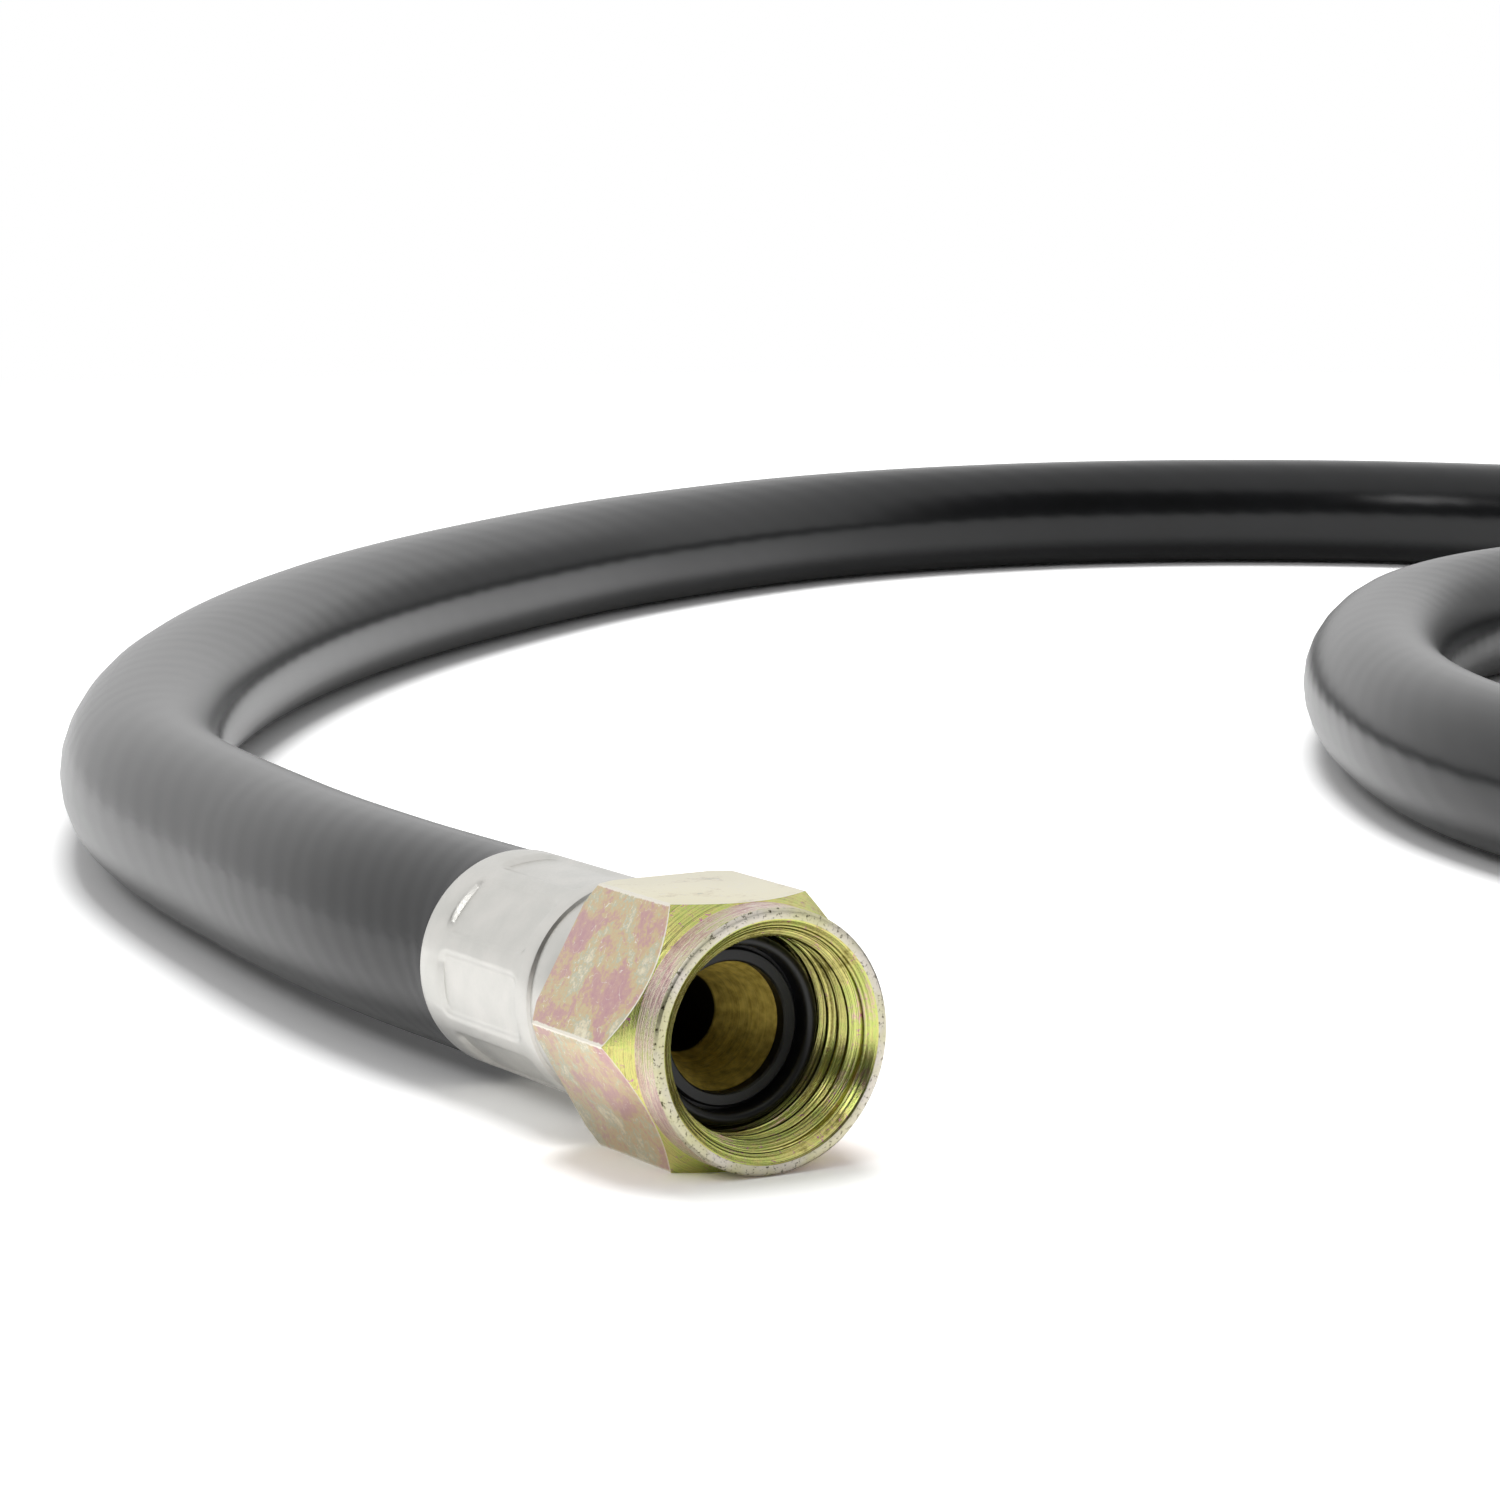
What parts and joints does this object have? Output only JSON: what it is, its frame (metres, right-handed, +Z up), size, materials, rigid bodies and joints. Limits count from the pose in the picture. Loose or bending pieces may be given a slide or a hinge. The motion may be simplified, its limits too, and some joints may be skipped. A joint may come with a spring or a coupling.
{
  "type": "inert gas hose",
  "caption": "Flexible black rubber gas hose with a crimped ferrule and a hexagonal swivel nut with a cone seat on each end, lying in a loose loop.",
  "frame": {"origin": "centre of the near fitting's footprint, on the ground it lies on", "axes": "+Y along the near fitting from its mouth towards the hose, +Z up, +X across the fitting"},
  "size_m": [0.371, 0.4688, 0.0191],
  "materials": {
    "passivated_zinc": "yellow passivated zinc plate, iridescent, lightly scratched",
    "satin_zinc": "clear zinc plate, satin",
    "brass": "turned",
    "seal_rubber": "moulded, matt",
    "hose_rubber": "satin, with a faint wrapped texture"
  },
  "bodies": {
    "hose": {"hose": "hose_rubber", "near_tail": "brass", "near_seal": "seal_rubber", "near_ferrule": "satin_zinc", "far_tail": "brass", "far_seal": "seal_rubber", "far_ferrule": "satin_zinc"},
    "near_nut": {"near_nut": "passivated_zinc"},
    "far_nut": {"far_nut": "passivated_zinc"}
  },
  "joints": [
    {"name": "near_nut_spin", "type": "hinge", "parent": "hose", "child": "near_nut", "pos_m": [0, -0.01115, 0.00953], "axis": [0, 1, 0], "continuous": true},
    {"name": "far_nut_spin", "type": "hinge", "parent": "hose", "child": "far_nut", "pos_m": [0.1879, -0.036, 0.00953], "axis": [1, 0, 0], "continuous": true}
  ]
}
